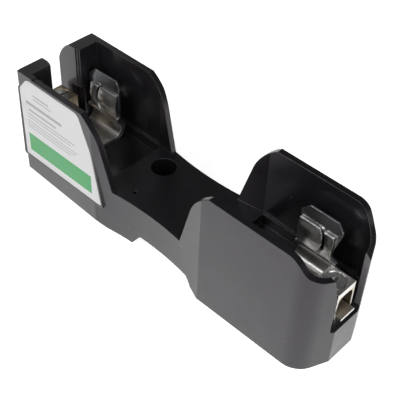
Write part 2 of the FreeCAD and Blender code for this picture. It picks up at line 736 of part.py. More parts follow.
def reinforcing_spring(name, x, turned):
    """Steel bow under and outside the contact, with flared upper lips."""
    body = new_body(name, x, turned)
    start = s.floor_top + s.steel / 2
    belly = cradle_out + s.bow_lead
    bow_out = cradle_out - s.bow_in
    path = [
        (zero, start),
        (belly - s.cradle_turn, start, s.bend_r),
        (belly, s.floor_top + s.cradle_up, s.bend_r),
        (belly - s.ridge_in, s.floor_top + s.ridge_up + s.gap * 2, s.fold_r),
        (bow_out, s.floor_top + s.finger_up, s.bend_r),
        (bow_out, s.floor_top + s.bow_up, s.fold_r),
        (bow_out + s.flare_out, s.floor_top + s.bow_up + s.flare_rise),
    ]
    half_width = s.clip_width / 2
    strip(body, "bow", path, half_width, s.steel)
    end = s.floor_top + s.bow_up + s.flare_rise
    window = box_ring(
        -s.window_inner, s.window_outer,
        s.floor_top + s.window_foot, s.floor_top + s.window_top, s.window_r,
    )
    cuts = [window]
    cuts.append([
        (-s.flare_top / 2, end + 1),
        (-s.flare_top / 2, end),
        (-half_width, end - s.flare_cut),
        (-half_width - 1, end - s.flare_cut),
        (-half_width - 1, end + 1),
    ])
    fold = s.floor_top + s.ridge_up
    cuts.append([
        (s.flare_top / 2, end + 1),
        (s.flare_top / 2, end),
        (half_width, end - s.flare_cut),
        (half_width - s.neck, s.floor_top + s.bow_up),
        (half_width - s.neck, fold + s.neck_foot * 2),
        (half_width, fold + s.neck_foot),
        (half_width + 1, fold + s.neck_foot),
        (half_width + 1, end + 1),
    ])
    pocket(body, "cuts", outline(body, "cuts_side", "XZ_Plane", cuts))
    hole = circles(body, "hole_plan", "XY_Plane", [(zero, zero, s.fix_hole)], lift=s.floor_top + 2)
    pocket(body, "hole", hole, s.steel * 3)
    return body


def swell(body, finger_out):
    """The inner finger swells towards the fuse, and the same on the other side."""
    crown = finger_out - s.copper / 2 - s.swell_rise
    left = -s.swell_in - s.swell_half
    right = -s.swell_in + s.swell_half
    ring = [(left, crown + s.swell_rise), (right, crown + s.swell_rise), (right, finger_out), (left, finger_out)]
    radius = (s.swell_half * s.swell_half + s.swell_rise * s.swell_rise) / (s.swell_rise * 2)
    foot = s.floor_top + s.swell_low
    plan = outline(body, "swell_plan", "XY_Plane", [ring], foot, {0: (radius, True)})
    bulge = pad(body, "swell", plan, s.swell_high - s.swell_low)
    mirror(body, "swell_other", bulge)


def contact(name, x, turned):
    """Tinned contact: seat, cradle, two fingers a side and the terminal tongue."""
    body = new_body(name, x, turned)
    foot = s.floor_top + s.steel
    start = foot + s.copper / 2
    finger_out = cradle_out - s.finger_in
    path = [
        (zero, start),
        (cradle_out - s.cradle_turn, start, s.bend_r),
        (cradle_out, s.floor_top + s.cradle_up, s.bend_r),
        (cradle_out - s.ridge_in, s.floor_top + s.ridge_up, s.fold_r),
        (finger_out, s.floor_top + s.finger_up, s.bend_r * 2),
        (finger_out + s.finger_lean, s.floor_top + s.finger_end_up),
    ]
    half_width = s.clip_width / 2
    strip(body, "cradle", path, half_width, s.copper)
    low = s.floor_top + s.slit_foot
    high = s.floor_top + s.finger_end_up + 3
    short = s.floor_top + s.finger_end_up - s.finger_short
    cuts = [
        [
            (s.finger_outer, low),
            (half_width + 1, low),
            (half_width + 1, high),
            (s.slit_at, high),
            (s.slit_at, short),
            (s.finger_outer, short),
        ],
        box_ring(-half_width - 1, -s.finger_inner, low, high),
    ]
    pocket(body, "sides", outline(body, "sides_side", "XZ_Plane", cuts))
    slit = box_ring(s.slit_at - s.slit / 2, s.slit_at + s.slit / 2, low, high)
    bent = {1: (s.slit_r, False), 3: (s.slit_r, True)}
    pocket(body, "slit", outline(body, "slit_side", "XZ_Plane", [slit], arcs=bent))
    swell(body, finger_out)
    rise = s.floor_top + s.tongue_up
    tip = half - s.tongue_end - clip_x
    slant = s.copper / 2
    tongue = [
        (s.joggle_at / 2, foot),
        (s.joggle_at, foot),
        (s.joggle_at + s.joggle_run, rise),
        (tip, rise),
        (tip, rise + s.copper),
        (s.joggle_at + s.joggle_run - slant, rise + s.copper),
        (s.joggle_at - slant, foot + s.copper),
        (s.joggle_at / 2, foot + s.copper),
    ]
    side_view = outline(body, "tongue_side", "XZ_Plane", [tongue])
    pad(body, "tongue", side_view, s.tongue_half * 2, both=True)
    hole = circles(body, "hole_plan", "XY_Plane", [(zero, zero, s.fix_hole)], lift=foot + 3)
    pocket(body, "hole", hole, s.copper * 5)
    return body


def circle_edges(feature, radius, height):
    """Names of the full circles of one radius at one height."""
    names = []
    for index, edge in enumerate(feature.Shape.Edges):
        if not isinstance(edge.Curve, Part.Circle):
            continue
        if abs(edge.Curve.Radius - radius) < 0.001 and abs(edge.Curve.Center.z - height) < 0.001:
            names.append("Edge" + str(index + 1))
    return names


def chamfer(body, name, feature, radius, height, size):
    cut = body.newObject("PartDesign::Chamfer", name)
    cut.Base = (feature, circle_edges(feature, number(radius), number(height)))
    cut.Size = number(size)
    tie(cut, "Size", size)
    doc.recompute()
    return cut


def box_lug(name, x):
    """Block with an arched wire hole and a thread for the clamping screw."""
    body = new_body(name, x)
    plan = box_ring(-s.lug_length / 2, s.lug_length / 2, -s.lug_width / 2, s.lug_width / 2)
    pad(body, "block", outline(body, "block_plan", "XY_Plane", [plan], lift=s.floor_top), s.lug_height)
    roof = s.floor_top + s.wire_top
    arch = [
        (-s.wire_half, s.floor_top + s.wire_foot),
        (s.wire_half, s.floor_top + s.wire_foot),
        (s.wire_half, roof, s.wire_r),
        (-s.wire_half, roof, s.wire_r),
    ]
    pocket(body, "tunnel", outline(body, "tunnel_end", "YZ_Plane", [arch]))
    lug_top = s.floor_top + s.lug_height
    hole_r = s.lug_screw_r + s.lug_screw_gap
    mouth = circles(body, "thread_plan", "XY_Plane", [(zero, zero, hole_r)], lift=lug_top)
    thread = pocket(body, "thread", mouth, s.lug_height - s.wire_top + s.wire_r)
    chamfer(body, "lead", thread, hole_r, lug_top, s.thread_lead)
    return body


def lug_screw(name, x):
    """Slotted clamping screw."""
    body = new_body(name, x)
    head = s.floor_top + s.lug_height - s.lug_screw_sunk
    foot = head - s.lug_screw_long
    disc = circles(body, "shank_plan", "XY_Plane", [(zero, zero, s.lug_screw_r)], lift=foot)
    shank = pad(body, "shank", disc, s.lug_screw_long)
    tip = chamfer(body, "tip", shank, s.lug_screw_r, foot, s.lug_screw_tip)
    slot = box_ring(-s.driver_wide / 2, s.driver_wide / 2, -s.lug_screw_r - 1, s.lug_screw_r + 1)
    plan = outline(body, "driver_plan", "XY_Plane", [slot], lift=head)
    pocket(body, "driver", plan, s.driver_deep)
    return body


for suffix, sign in (("right", 1), ("left", -1)):
    turned = sign < 0
    reinforcing_spring("spring_" + suffix, clip_x * sign, turned)
    contact("clip_" + suffix, clip_x * sign, turned)
    box_lug("lug_" + suffix, lug_x * sign)
    lug_screw("lug_screw_" + suffix, lug_x * sign)


def turned_piece(name, ring, x, y=None):
    """A turned piece from half of its section, round an upright axis."""
    body = new_body(name, x)
    if y is not None:
        tie(body, "Placement.Base.y", y)
    section = outline(body, "section", "XZ_Plane", [ring])
    turning = body.newObject("PartDesign::Revolution", "turning")
    turning.Profile = section
    turning.ReferenceAxis = (section, ["V_Axis"])
    doc.recompute()
    return body


def group(name, members):
    """Like pieces in one node, as separate solids."""
    doc.recompute()
    joined = doc.addObject("Part::Compound", name)
    joined.Label = name
    joined.Links = members
    doc.recompute()
    return joined


# Clip screws with slotted heads, their washers and inserts
seat_top = s.floor_top + s.steel + s.copper
head_low = seat_top + s.washer
screws = []
washers = []
inserts = []
for suffix, sign in (("right", 1), ("left", -1)):
    ring = [
        (zero, head_low - s.fix_long),
        (s.fix_r, head_low - s.fix_long),
        (s.fix_r, head_low),
        (s.fix_head_r, head_low),
        (s.fix_head_r, head_low + s.fix_head * 0.6),
        (s.fix_r, head_low + s.fix_head),
        (zero, head_low + s.fix_head),
    ]
    screw = turned_piece("clip_screw_" + suffix, ring, clip_x * sign)
    cut = box_ring(-s.driver_wide / 2, s.driver_wide / 2, -s.fix_head_r - 1, s.fix_head_r + 1)
    plan = outline(screw, "driver_plan", "XY_Plane", [cut], lift=head_low + s.fix_head)
    pocket(screw, "driver", plan, s.driver_deep * 0.7)
    screws.append(screw)
    ring = box_ring(s.fix_r + s.fit * 3, s.washer_r, seat_top, head_low)
    washer = turned_piece("washer_" + suffix, ring, clip_x * sign)
    cut = box_ring(zero, s.washer_r + 1, -s.washer_split / 2, s.washer_split / 2)
    plan = outline(washer, "split_plan", "XY_Plane", [cut], lift=head_low)
    pocket(washer, "split", plan, s.washer * 2)
    washers.append(washer)
    ring = box_ring(s.fix_r + s.fit, s.insert_r, s.floor_top - s.insert_long, s.floor_top)
    inserts.append(turned_piece("insert_" + suffix, ring, clip_x * sign))

# Rail latch
latch = new_body("rail_latch")
latch_top = s.latch_up + s.latch_thick
tail = -half + s.latch_tail
nose = -rail_left - s.gap
profile = [
    (tail, s.latch_up),
    (nose - s.latch_nose, s.latch_up),
    (nose - s.latch_nose, s.latch_lip_up),
    (nose + s.latch_reach + s.gap, s.latch_lip_up),
    (nose + s.latch_reach + s.gap, hook_top - s.hook_tip),
    (nose, hook_top),
    (nose, latch_top),
    (tail, latch_top),
]
pad(latch, "slide", outline(latch, "slide_side", "XZ_Plane", [profile]), s.latch_half * 2, both=True)
windows = [
    box_ring(-s.spring_x - s.stop - s.gap, spring_end, -spring_half, spring_half),
    box_ring(tail + s.eye_in, tail + s.eye_in + s.eye_long, -s.eye_half, s.eye_half),
]
plan = outline(latch, "windows_plan", "XY_Plane", windows, lift=latch_top + 1)
pocket(latch, "windows", plan, latch_top + 1)

# Latch spring
coil = new_body("latch_spring", -s.spring_x + s.spring_wire)
tie(coil, "Placement.Base.z", s.spring_z)
wire_ring = []
for corner in range(4):
    turn = math.radians(90 * corner)
    wire_ring.append((s.spring_wire * math.cos(turn), s.spring_r + s.spring_wire * math.sin(turn)))
wire = outline(coil, "wire", "XZ_Plane", [wire_ring])
helix = coil.newObject("PartDesign::AdditiveHelix", "turns")
helix.Profile = wire
helix.ReferenceAxis = (wire, ["H_Axis"])
helix.Mode = "pitch-height-angle"
helix.Pitch = s.spring_pitch.value
tie(helix, "Pitch", s.spring_pitch)
helix.Height = s.spring_long.value - 2 * s.spring_wire.value
tie(helix, "Height", s.spring_long - s.spring_wire * 2)
doc.recompute()

# Keeper plate and its flat-headed screws
keeper = new_body("latch_keeper", -s.keeper_x)
plate = box_ring(-s.keeper_long / 2, s.keeper_long / 2, -s.keeper_half, s.keeper_half)
pad(keeper, "plate", outline(keeper, "plate_plan", "XY_Plane", [plate]), s.keeper)
flat_heads = []
for sign, name in ((1, "rear"), (-1, "front")):
    across = s.keeper_hole * sign
    hole = circles(keeper, "hole_" + name, "XY_Plane", [(zero, across, s.keeper_screw_r + s.fit)])
    bore = pocket(keeper, "bore_" + name, hole, s.keeper * 2, back=True)
    sunk = keeper.newObject("PartDesign::Chamfer", "sink_" + name)
    edges = []
    for index, edge in enumerate(bore.Shape.Edges):
        if isinstance(edge.Curve, Part.Circle) and abs(edge.Curve.Center.z) < 0.001:
            if abs(edge.Curve.Center.y - across.value) < 0.001:
                edges.append("Edge" + str(index + 1))
    sunk.Base = (bore, edges)
    sunk.Size = 0.8
    tie(sunk, "Size", s.keeper - 0.1)
    doc.recompute()
    ring = [
        (zero, zero),
        (s.keeper_screw_r + s.keeper - 0.1, zero),
        (s.keeper_screw_r, s.keeper - 0.1),
        (s.keeper_screw_r, s.keeper_screw_long),
        (zero, s.keeper_screw_long),
    ]
    flat_heads.append(turned_piece("flat_head_" + name, ring, -s.keeper_x, across))

nodes = {body.Label: body for body in (base, label, latch, coil, keeper)}
for suffix in ("right", "left"):
    for stem in ("spring_", "clip_", "lug_", "lug_screw_"):
        nodes[stem + suffix] = doc.getObject(stem + suffix)
for name, members in (
    ("clip_screws", screws),
    ("clip_washers", washers),
    ("inserts", inserts),
    ("keeper_screws", flat_heads),
):
    nodes[name] = group(name, members)

doc.recompute()
for item in doc.Objects:
    if "Invalid" in item.State or "Error" in item.State:
        raise RuntimeError("did not build: " + item.Name)
os.makedirs("parts", exist_ok=True)
for name, item in nodes.items():
    shape = item.Shape
    if shape.isNull() or not shape.isValid():
        raise RuntimeError("not a sound solid: " + name)
    print(name, len(shape.Solids), round(shape.Volume, 1))
    shape.exportStep("parts/" + name + ".step")
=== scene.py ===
import math

import bmesh
import bpy
from mathutils import Matrix, Vector


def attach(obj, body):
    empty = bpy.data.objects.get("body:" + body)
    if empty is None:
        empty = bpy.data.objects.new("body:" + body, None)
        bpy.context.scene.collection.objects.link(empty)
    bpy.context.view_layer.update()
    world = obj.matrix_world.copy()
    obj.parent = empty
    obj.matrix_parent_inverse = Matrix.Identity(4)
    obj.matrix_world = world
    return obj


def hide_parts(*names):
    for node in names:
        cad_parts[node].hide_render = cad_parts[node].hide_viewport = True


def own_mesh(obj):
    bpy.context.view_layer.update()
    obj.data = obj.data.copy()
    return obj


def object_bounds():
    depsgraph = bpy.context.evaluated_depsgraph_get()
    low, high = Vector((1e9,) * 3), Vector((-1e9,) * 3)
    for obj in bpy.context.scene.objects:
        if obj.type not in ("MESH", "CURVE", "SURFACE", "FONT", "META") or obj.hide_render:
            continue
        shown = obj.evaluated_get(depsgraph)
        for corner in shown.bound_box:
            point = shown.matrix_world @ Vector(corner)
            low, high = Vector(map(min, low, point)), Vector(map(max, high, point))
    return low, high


bl_info = {
    "name": "Fuse block finishes",
    "version": (1, 0, 0),
    "blender": (4, 5, 0),
    "location": "View3D > Sidebar > Fuse block",
    "description": "Dresses the packed fuse block with its surfaces and a plain studio",
    "category": "Object",
}

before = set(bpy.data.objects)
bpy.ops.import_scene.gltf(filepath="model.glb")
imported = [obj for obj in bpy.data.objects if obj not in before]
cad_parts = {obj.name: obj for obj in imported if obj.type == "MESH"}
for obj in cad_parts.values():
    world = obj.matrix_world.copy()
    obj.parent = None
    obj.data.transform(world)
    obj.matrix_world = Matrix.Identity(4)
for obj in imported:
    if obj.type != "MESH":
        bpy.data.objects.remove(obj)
CAD_BOX = [list(corner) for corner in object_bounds()]

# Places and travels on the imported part, in metres
SHOULDER_X = -0.07955  # the label's sheet stops here, just inside the square left shoulder
SHEEN_FROM, SHEEN_Y, SHEEN_REACH = 0.068, 0.0095, 0.0002  # painted sheen: a pale tone on the rear side of the right wire slot, in place of the floor's reflection
BORE_HALF, BORE_LOW, BORE_HIGH = 0.0046, 0.0209, 0.0323  # inside of the wire holes
FLOOR_GAP = 0.0002

# Tones that no setting changes
SPECK = (0.07, 0.07, 0.07, 1.0)
# Pale tone of a painted sheen on the rear side of the right wire slot, standing in for the floor's
# reflection
PAINTED_SHEEN = (0.15, 0.143, 0.152, 1.0)
# Paler tone on the plastic's edges: partly wear, partly painted highlight along the rims
PLASTIC_WEAR_AND_HIGHLIGHT = (0.075, 0.072, 0.076, 1.0)
WHITE = (1, 1, 1, 1)

# Scales of the noise: the larger, the finer
BROAD_CLOUDS, DUST, SOIL = 55.0, 26.0, 60.0
SPECK_CELLS, SPECK_FIELDS, WEAR_AND_HIGHLIGHT_BREAKS = 330.0, 90.0, 240.0
ROLL_LINES, ROLL_PATCHES = 900.0, 210.0

BEVEL_SAMPLES = 6
EDGE_FAINT, EDGE_FULL = 0.995, 0.90  # likeness of the flat and the rounded normal
SMOOTH_ANGLE = math.radians(40)


# Settings that a user would change

class PlasticSettings(bpy.types.PropertyGroup):
    tone: bpy.props.FloatVectorProperty(
        name="Plastic", description="Colour of the moulded plastic", subtype="COLOR",
        size=4, min=0.0, max=1.0, default=(0.0082, 0.0073, 0.0087, 1.0))
    gloss: bpy.props.FloatProperty(
        name="Roughness", description="Mean roughness of the moulded plastic",
        default=0.33, min=0.05, max=1.0)
    coat: bpy.props.FloatProperty(
        name="Skin gloss", description="Weight of the glossy moulded skin",
        default=0.4, min=0.0, max=1.0)
    grain: bpy.props.FloatProperty(
        name="Grain size", description="Size of the fine moulding grain",
        default=0.0005, unit="LENGTH")


class MetalSettings(bpy.types.PropertyGroup):
    tin: bpy.props.FloatVectorProperty(
        name="Tin plate", description="Colour of the tinned contact", subtype="COLOR",
        size=4, min=0.0, max=1.0, default=(0.74, 0.73, 0.71, 1.0))
    steel: bpy.props.FloatVectorProperty(
        name="Spring steel", description="Colour of the reinforcing springs", subtype="COLOR",
        size=4, min=0.0, max=1.0, default=(0.38, 0.39, 0.41, 1.0))
    aluminium: bpy.props.FloatVectorProperty(
        name="Aluminium", description="Colour of the box lugs", subtype="COLOR",
        size=4, min=0.0, max=1.0, default=(0.80, 0.78, 0.74, 1.0))
    tarnish: bpy.props.FloatVectorProperty(
        name="Tarnish", description="Colour of the lugs where they have dulled", subtype="COLOR",
        size=4, min=0.0, max=1.0, default=(0.46, 0.38, 0.27, 1.0))
    zinc: bpy.props.FloatVectorProperty(
        name="Zinc plate", description="Colour of the screws", subtype="COLOR",
        size=4, min=0.0, max=1.0, default=(0.55, 0.55, 0.54, 1.0))
    brass: bpy.props.FloatVectorProperty(
        name="Brass", description="Colour of the threaded inserts", subtype="COLOR",
        size=4, min=0.0, max=1.0, default=(0.62, 0.42, 0.17, 1.0))


class LabelSettings(bpy.types.PropertyGroup):
    paper: bpy.props.FloatVectorProperty(
        name="Label", description="Colour of the coated paper", subtype="COLOR",
        size=4, min=0.0, max=1.0, default=(0.655, 0.648, 0.658, 1.0))
    ink: bpy.props.FloatVectorProperty(
        name="Grey ink", description="Colour of the grey bars", subtype="COLOR",
        size=4, min=0.0, max=1.0, default=(0.32, 0.32, 0.33, 1.0))
    field: bpy.props.FloatVectorProperty(
        name="Green ink", description="Colour of the green field", subtype="COLOR",
        size=4, min=0.0, max=1.0, default=(0.03, 0.30, 0.08, 1.0))


class StudioSettings(bpy.types.PropertyGroup):
    eye: bpy.props.FloatVectorProperty(
        name="Camera place", description="Where the camera stands", subtype="TRANSLATION",
        size=3, unit="LENGTH", default=(0.186196, -0.197081, 0.279662))
    turn: bpy.props.FloatVectorProperty(
        name="Camera turn", description="How the camera is turned", subtype="EULER",
        size=3, default=(0.811479, -0.034781, 0.763063))
    lens: bpy.props.FloatProperty(
        name="Lens", description="Focal length in millimetres", default=79.155)
    floor_tone: bpy.props.FloatVectorProperty(
        name="Floor", description="Colour of the floor", subtype="COLOR",
        size=4, min=0.0, max=1.0, default=(0.9, 0.9, 0.9, 1.0))
    sky: bpy.props.FloatProperty(
        name="Room light", description="Strength of the light from all round", default=0.06)


# Node helpers

def feed(tree, node, values):
    """Give a node's inputs their numbers or links."""
    for key, value in values.items():
        if isinstance(value, bpy.types.NodeSocket):
            tree.links.new(value, node.inputs[key])
        else:
            node.inputs[key].default_value = value
    return node


def put(tree, kind, values=None, **settings):
    """Add a node, set its options and give its inputs numbers or links."""
    node = tree.nodes.new(kind)
    for key, value in settings.items():
        setattr(node, key, value)
    return feed(tree, node, values or {})


def new_group(name, ins, outs):
    """Start a shared effect with named inputs and outputs."""
    tree = bpy.data.node_groups.new(name, "ShaderNodeTree")
    for label, kind, default in ins:
        socket = tree.interface.new_socket(name=label, in_out="INPUT", socket_type=kind)
        if default is not None:
            socket.default_value = default
    for label, kind in outs:
        tree.interface.new_socket(name=label, in_out="OUTPUT", socket_type=kind)
    return tree, tree.nodes.new("NodeGroupInput"), tree.nodes.new("NodeGroupOutput")


def math_node(tree, operation, first, second=None, third=None):
    """Sum, product or test of numbers and links."""
    values = {0: first}
    if second is not None:
        values[1] = second
    if third is not None:
        values[2] = third
    return put(tree, "ShaderNodeMath", values, operation=operation).outputs[0]


def spread(tree, value, low, high, to_low, to_high):
    """Value from one range carried over to another, and held at its ends."""
    values = {
        "Value": value, "From Min": low, "From Max": high, "To Min": to_low, "To Max": to_high}
    return put(tree, "ShaderNodeMapRange", values).outputs["Result"]


def cloud(tree, where, scale, detail=3.0, rough=0.5):
    """Soft noise from nought to one."""
    values = {"Vector": where, "Scale": scale, "Detail": detail, "Roughness": rough}
    return put(tree, "ShaderNodeTexNoise", values).outputs["Fac"]


def edge_wear_and_highlight_mask(tree, radius):
    """Normal that rounds the edges off, and a broken mask of where the edges are."""
    bevel = put(tree, "ShaderNodeBevel", {"Radius": radius}, samples=BEVEL_SAMPLES)
    rounded = bevel.outputs["Normal"]
    flat = put(tree, "ShaderNodeNewGeometry").outputs["Normal"]
    both = put(tree, "ShaderNodeVectorMath", {0: rounded, 1: flat}, operation="DOT_PRODUCT")
    return rounded, spread(tree, both.outputs["Value"], EDGE_FAINT, EDGE_FULL, 0.0, 1.0)


def build_grain():
    """Uneven gloss and fine relief: broad clouds, fine grain and a few specks."""
    ins = [
        ("Vector", "NodeSocketVector", None),
        ("Size", "NodeSocketFloat", 0.0005),
        ("Low", "NodeSocketFloat", 0.2),
        ("High", "NodeSocketFloat", 0.4),
        ("Relief", "NodeSocketFloat", 0.2),
        ("Relief Depth", "NodeSocketFloat", 0.00002),
        ("Edge Radius", "NodeSocketFloat", 0.0004),
    ]
    outs = [
        ("Roughness", "NodeSocketFloat"),
        ("Normal", "NodeSocketVector"),
        ("Specks", "NodeSocketFloat"),
        ("Edge", "NodeSocketFloat"),
    ]
    tree, gin, gout = new_group("moulded grain", ins, outs)
    scale = math_node(tree, "DIVIDE", 1.0, gin.outputs["Size"])
    fine = cloud(tree, gin.outputs["Vector"], scale, 2.0)
    broad = cloud(tree, gin.outputs["Vector"], BROAD_CLOUDS, 4.0, 0.6)
    mixed = math_node(tree, "MULTIPLY_ADD", fine, 0.25, broad)
    rough = put(tree, "ShaderNodeMapRange", {
        "Value": mixed, "From Min": 0.35, "From Max": 0.9,
        "To Min": gin.outputs["Low"], "To Max": gin.outputs["High"]}).outputs["Result"]
    specks = put(tree, "ShaderNodeTexVoronoi", {
        "Vector": gin.outputs["Vector"], "Scale": SPECK_CELLS})
    mask = spread(tree, specks.outputs["Distance"], 0.09, 0.15, 1.0, 0.0)
    fields = cloud(tree, gin.outputs["Vector"], SPECK_FIELDS, 1.0)
    rare = spread(tree, fields, 0.64, 0.68, 0.0, 1.0)
    rounded, edge = edge_wear_and_highlight_mask(tree, gin.outputs["Edge Radius"])
    bump = put(tree, "ShaderNodeBump", {
        "Strength": gin.outputs["Relief"], "Distance": gin.outputs["Relief Depth"],
        "Height": mixed, "Normal": rounded})
    # Noise that breaks up the edge mask, which paints edges paler: partly wear, partly painted
    # highlight
    marks = cloud(tree, gin.outputs["Vector"], WEAR_AND_HIGHLIGHT_BREAKS, 3.0)
    broken_wear_and_highlight = spread(tree, marks, 0.40, 0.62, 0.25, 1.0)
    tree.links.new(rough, gout.inputs["Roughness"])
    tree.links.new(bump.outputs["Normal"], gout.inputs["Normal"])
    tree.links.new(math_node(tree, "MULTIPLY", mask, rare), gout.inputs["Specks"])
    tree.links.new(math_node(tree, "MULTIPLY", edge, broken_wear_and_highlight), gout.inputs["Edge"])
    return tree


def build_rolled():
    """Rolled or drawn metal: fine lines along one way, with dull patches."""
    ins = [
        ("Vector", "NodeSocketVector", None),
        ("Low", "NodeSocketFloat", 0.2),
        ("High", "NodeSocketFloat", 0.4),
        ("Relief", "NodeSocketFloat", 0.1),
        ("Edge Radius", "NodeSocketFloat", 0.0002),
    ]
    outs = [
        ("Roughness", "NodeSocketFloat"),
        ("Normal", "NodeSocketVector"),
        ("Stain", "NodeSocketFloat"),
        ("Edge", "NodeSocketFloat"),
    ]
    tree, gin, gout = new_group("rolled metal", ins, outs)
    lines = cloud(tree, gin.outputs["Vector"], ROLL_LINES, 2.0)
    where = put(tree, "ShaderNodeTexCoord").outputs["Object"]
    patch = cloud(tree, where, ROLL_PATCHES, 2.0)
    both = math_node(tree, "MULTIPLY_ADD", patch, 0.8, math_node(tree, "MULTIPLY", lines, 0.4))
    rough = put(tree, "ShaderNodeMapRange", {
        "Value": both, "From Min": 0.4, "From Max": 0.85,
        "To Min": gin.outputs["Low"], "To Max": gin.outputs["High"]}).outputs["Result"]
    rounded, edge = edge_wear_and_highlight_mask(tree, gin.outputs["Edge Radius"])
    bump = put(tree, "ShaderNodeBump", {
        "Strength": gin.outputs["Relief"], "Distance": 0.00001,
        "Height": lines, "Normal": rounded})
    stain = spread(tree, patch, 0.45, 0.75, 0.0, 0.35)
    tree.links.new(rough, gout.inputs["Roughness"])
    tree.links.new(bump.outputs["Normal"], gout.inputs["Normal"])
    tree.links.new(stain, gout.inputs["Stain"])
    tree.links.new(edge, gout.inputs["Edge"])
    return tree


def build_field():
    """A printed rectangle on the label, by its place along X and up Z."""
    ins = [
        ("Vector", "NodeSocketVector", None),
        ("Left", "NodeSocketFloat", 0.0),
        ("Right", "NodeSocketFloat", 0.01),
        ("Low", "NodeSocketFloat", 0.0),
        ("High", "NodeSocketFloat", 0.01),
    ]
    tree, gin, gout = new_group("printed field", ins, [("Mask", "NodeSocketFloat")])
    split = put(tree, "ShaderNodeSeparateXYZ", {"Vector": gin.outputs["Vector"]})
    x, z = split.outputs["X"], split.outputs["Z"]
    tests = [
        math_node(tree, "GREATER_THAN", x, gin.outputs["Left"]),
        math_node(tree, "LESS_THAN", x, gin.outputs["Right"]),
        math_node(tree, "GREATER_THAN", z, gin.outputs["Low"]),
        math_node(tree, "LESS_THAN", z, gin.outputs["High"]),
    ]
    mask = tests[0]
    for test in tests[1:]:
        mask = math_node(tree, "MULTIPLY", mask, test)
    tree.links.new(mask, gout.inputs["Mask"])
    return tree


GROUPS = {}


def shared(name):
    """The group of an effect, built the first time that it is asked for."""
    makers = {"grain": build_grain, "rolled": build_rolled, "field": build_field}
    if name not in GROUPS:
        GROUPS[name] = makers[name]()
    return GROUPS[name]


def effect(tree, name, values):
    """Place a shared effect in a material with its own values."""
    node = tree.nodes.new("ShaderNodeGroup")
    node.node_tree = shared(name)
    return feed(tree, node, values)


def new_material(name, values):
    """A material with its Principled shader set to plain numbers."""
    material = bpy.data.materials.new(name)
    material.use_nodes = True
    tree = material.node_tree
    shader = tree.nodes["Principled BSDF"]
    for key, value in values.items():
        shader.inputs[key].default_value = value
    where = tree.nodes.new("ShaderNodeTexCoord").outputs["Object"]
    return material, tree, shader, where


def tint(tree, mask, first, second):
    """Colour that goes from first to second by a mask."""
    mix = put(tree, "ShaderNodeMix", {"Factor": mask}, data_type="RGBA")
    for key, value in (("A", first), ("B", second)):
        socket = [item for item in mix.inputs if item.name == key and item.type == "RGBA"][0]
        if isinstance(value, bpy.types.NodeSocket):
            tree.links.new(value, socket)
        else:
            socket.default_value = value
    return [item for item in mix.outputs if item.type == "RGBA"][0]


def plastic(name, settings, gloss_shift=0.0, coat=None):
    """Black moulded plastic with uneven gloss, fine relief and a few pale specks, with its edges
    painted paler (partly wear, partly painted highlight) and a painted sheen on the rear side of
    the right wire slot.
    """
    weight = settings.coat if coat is None else coat
    material, tree, shader, where = new_material(name, {
        "Metallic": 0.0, "Coat Weight": weight, "Coat Roughness": 0.16,
        "IOR": 1.42, "Coat IOR": 1.42, "Specular Tint": (1.0, 0.92, 1.0, 1.0)})
    low = settings.gloss - 0.08 + gloss_shift
    high = settings.gloss + 0.12 + gloss_shift
    grain = effect(tree, "grain", {
        "Vector": where, "Size": settings.grain, "Low": low, "High": high,
        "Relief": 0.22, "Relief Depth": 0.00003})
    pale = tuple(min(1.0, channel * 2.0 + 0.01) for channel in settings.tone[:3]) + (1.0,)
    dust = cloud(tree, where, DUST, 5.0, 0.62)
    haze = spread(tree, dust, 0.45, 0.75, 0.0, 0.35)
    ground = tint(tree, haze, tuple(settings.tone), pale)
    specked = tint(tree, grain.outputs["Specks"], ground, SPECK)
    # Painted sheen: the rear side of the right wire slot, found by its place, gets a pale tone in
    # place of the floor's reflection
    split = put(tree, "ShaderNodeSeparateXYZ", {"Vector": where})
    at_end = math_node(tree, "GREATER_THAN", split.outputs["X"], SHEEN_FROM)
    at_side = math_node(tree, "COMPARE", split.outputs["Y"], SHEEN_Y, SHEEN_REACH)
    with_painted_sheen = tint(tree, math_node(tree, "MULTIPLY", at_end, at_side), specked, PAINTED_SHEEN)
    # Edges painted paler: partly wear, partly painted highlight along the rims
    colour = tint(tree, grain.outputs["Edge"], with_painted_sheen, PLASTIC_WEAR_AND_HIGHLIGHT)
    tree.links.new(colour, shader.inputs["Base Color"])
    tree.links.new(grain.outputs["Roughness"], shader.inputs["Roughness"])
    tree.links.new(grain.outputs["Normal"], shader.inputs["Normal"])
    tree.links.new(grain.outputs["Normal"], shader.inputs["Coat Normal"])
    return material


def metal(name, tone, low, high, relief=0.1, along=(1.0, 12.0, 12.0), stain=0.7):
    """Plated or rolled metal with fine lines, dull patches and darker stains, and edges painted
    paler: partly wear, partly painted highlight.
    """
    material, tree, shader, where = new_material(name, {"Metallic": 1.0})
    stretched = put(tree, "ShaderNodeMapping", {"Vector": where, "Scale": along}).outputs["Vector"]
    lines = effect(tree, "rolled", {
        "Vector": stretched, "Low": low, "High": high, "Relief": relief})
    dark = tuple(channel * stain for channel in tone[:3]) + (1.0,)
    # Paler tone on the metal's edges: partly wear, partly painted highlight
    bright = tuple(min(1.0, channel * 1.25 + 0.1) for channel in tone[:3]) + (1.0,)
    stained = tint(tree, lines.outputs["Stain"], tuple(tone), dark)
    colour = tint(tree, lines.outputs["Edge"], stained, bright)
    tree.links.new(colour, shader.inputs["Base Color"])
    tree.links.new(lines.outputs["Roughness"], shader.inputs["Roughness"])
    tree.links.new(lines.outputs["Normal"], shader.inputs["Normal"])
    return material


